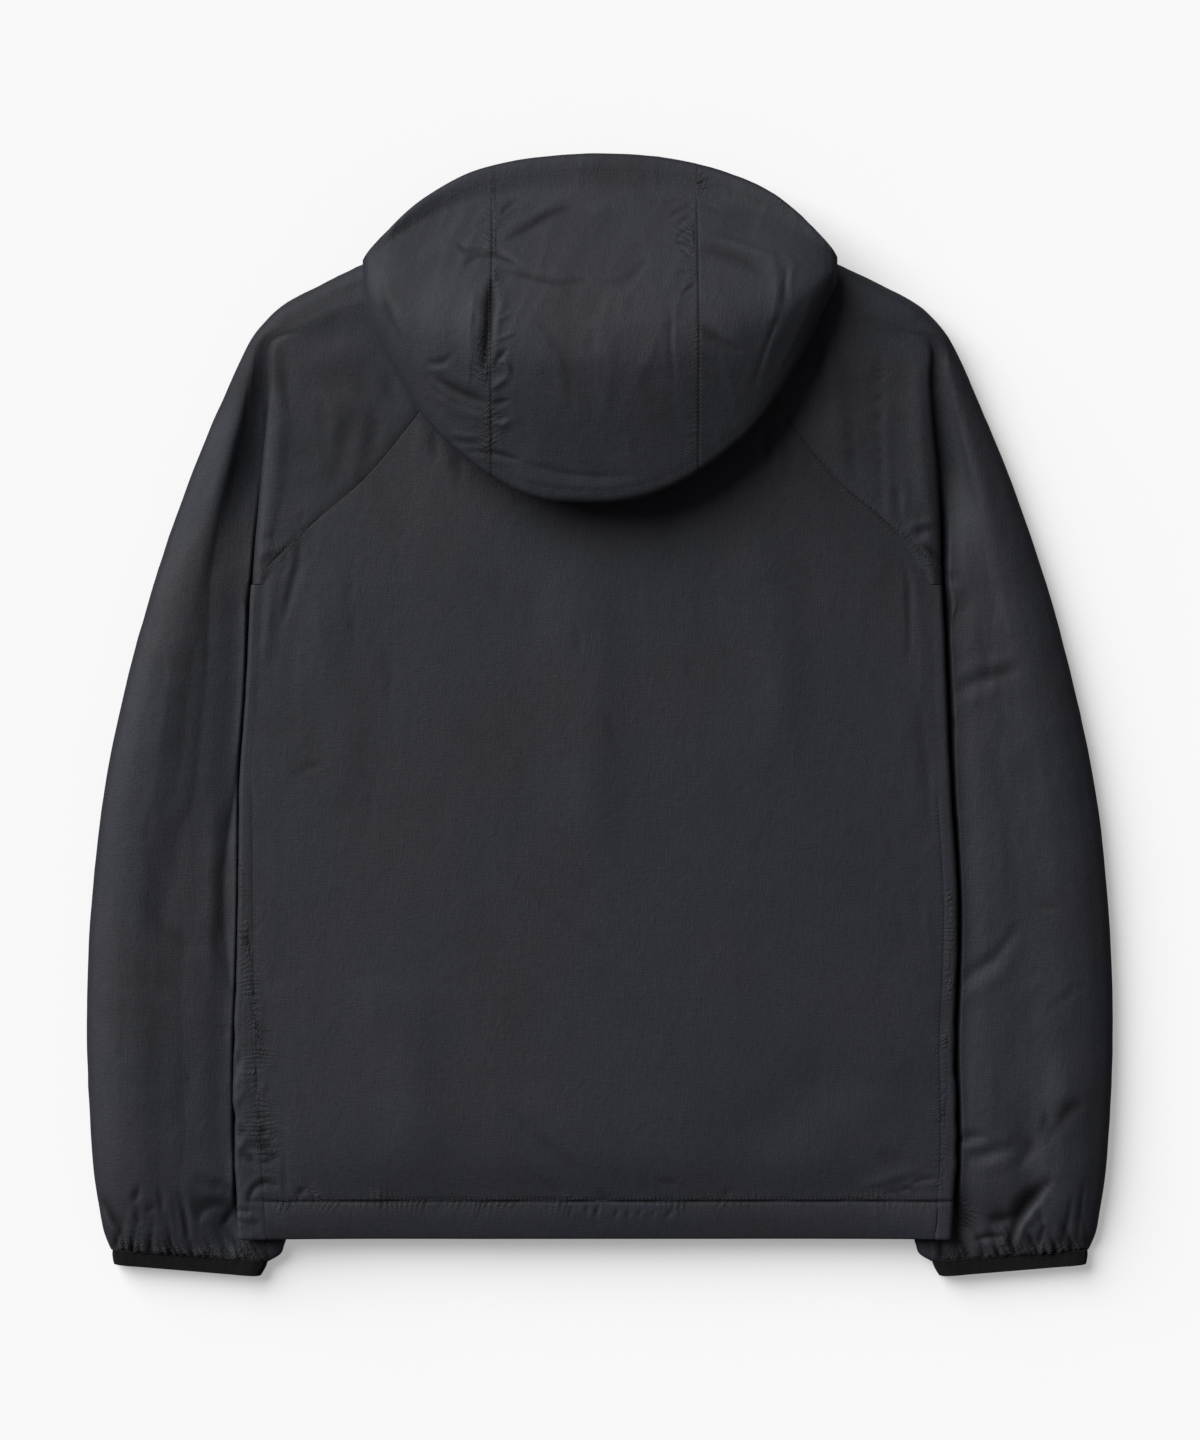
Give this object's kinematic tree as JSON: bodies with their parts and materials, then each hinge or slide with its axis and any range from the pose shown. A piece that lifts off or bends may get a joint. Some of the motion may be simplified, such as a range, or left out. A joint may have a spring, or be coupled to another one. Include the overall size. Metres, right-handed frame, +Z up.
{
  "type": "windbreaker jacket",
  "caption": "Hooded, raglan-sleeved windbreaker with elastic cuffs, laid out flat on its closed front with the hood lying on its back and the sleeves drawn down beside it.",
  "frame": {"origin": "on the floor under the middle of the jacket's bounding box", "axes": "+Z up from the floor, the shortest extent; +Y from the hem to the hood, the longest extent; +X towards the wearer's right, as the jacket lies on its front"},
  "size_m": [0.7698, 0.8414, 0.0828],
  "materials": {
    "shell": "fine dark charcoal nylon, matt with a soft sheen",
    "binding": "ribbed elastic binding, nearly black",
    "zip_tape": "woven zip tape",
    "zip_coil": "matt nylon coil",
    "zip_slider": "dark painted metal"
  },
  "bodies": {
    "root": {"back": "shell", "front_left": "shell", "front_right": "shell", "hem_back": "shell", "hem_front_left": "shell", "hem_front_right": "shell", "sleeve_left": "shell", "sleeve_right": "shell", "hood_left": "shell", "hood_middle": "shell", "hood_right": "shell", "cuff_left": "binding", "cuff_right": "binding", "zip_tape_left": "zip_tape", "zip_tape_right": "zip_tape", "zip_chain": "zip_coil", "zip_slider": "zip_slider"}
  },
  "joints": []
}
